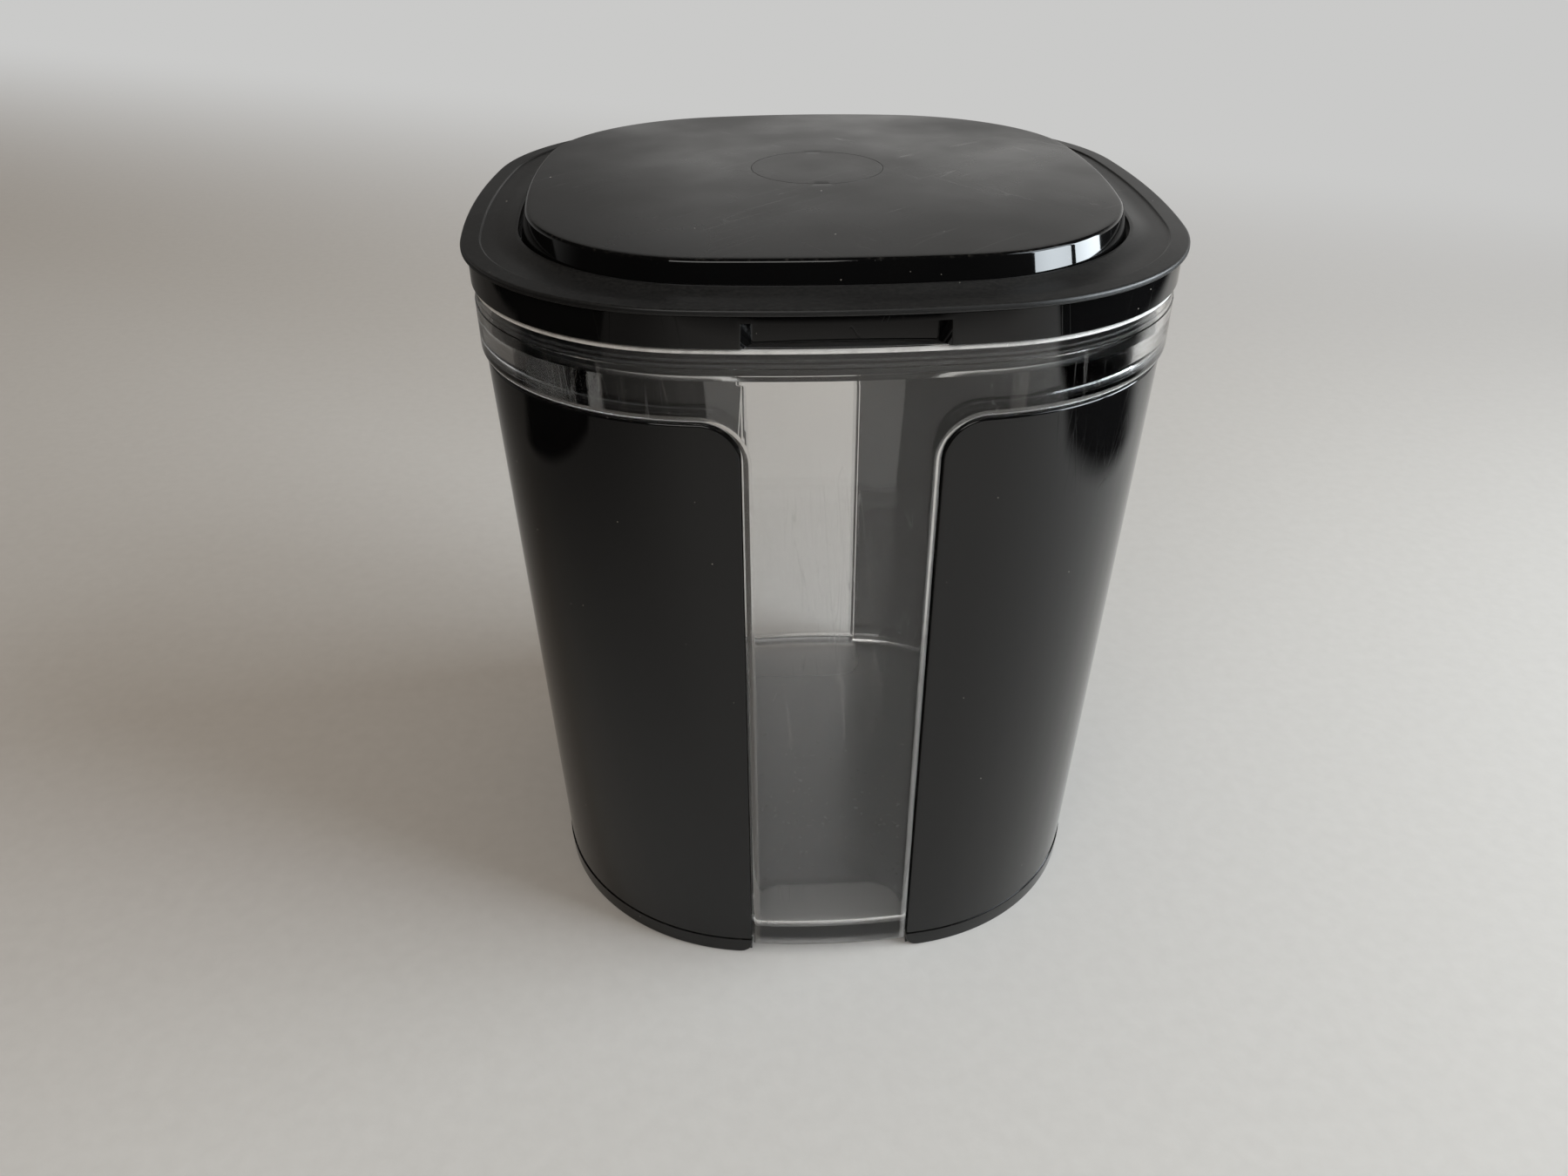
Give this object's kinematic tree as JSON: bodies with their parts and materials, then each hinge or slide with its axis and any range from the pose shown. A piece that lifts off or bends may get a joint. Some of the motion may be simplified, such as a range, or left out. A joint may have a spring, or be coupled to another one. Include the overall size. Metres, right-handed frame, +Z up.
{
  "type": "food storage box",
  "caption": "Square-shouldered food storage box: clear tapered bin in a black jacket with a front window, closed by a push-in lid with a raised plate.",
  "frame": {"origin": "on the table, under the middle of the box", "axes": "+Z up, the front with its window and finger recess faces -Y, +X to the viewer's right"},
  "size_m": [0.1516, 0.1516, 0.1729],
  "materials": {
    "jacket_gloss": "glossy black",
    "clear_shell": "clear, glossy",
    "lid_gloss": "glossy black",
    "soft_ring": "soft satin black",
    "top_satin": "satin top, glossy sides",
    "disc_satin": "satin black",
    "plug_plastic": "plain moulded, dark grey",
    "seal_silicone": "matt silicone, dark grey"
  },
  "bodies": {
    "jacket": {"outer_jacket": "jacket_gloss"},
    "bin": {"clear_bin": "clear_shell"},
    "lid": {"lid_frame": "lid_gloss", "lid_ring": "soft_ring", "top_plate": "top_satin", "centre_disc": "disc_satin", "lid_plug": "plug_plastic", "seal_ring": "seal_silicone"}
  },
  "joints": [
    {"name": "bin_lift", "type": "slide", "parent": "jacket", "child": "bin", "axis": [0, 0, 1], "range_m": [0, 0.16]},
    {"name": "lid_lift", "type": "slide", "parent": "bin", "child": "lid", "axis": [0, 0, 1], "range_m": [0, 0.08]}
  ]
}
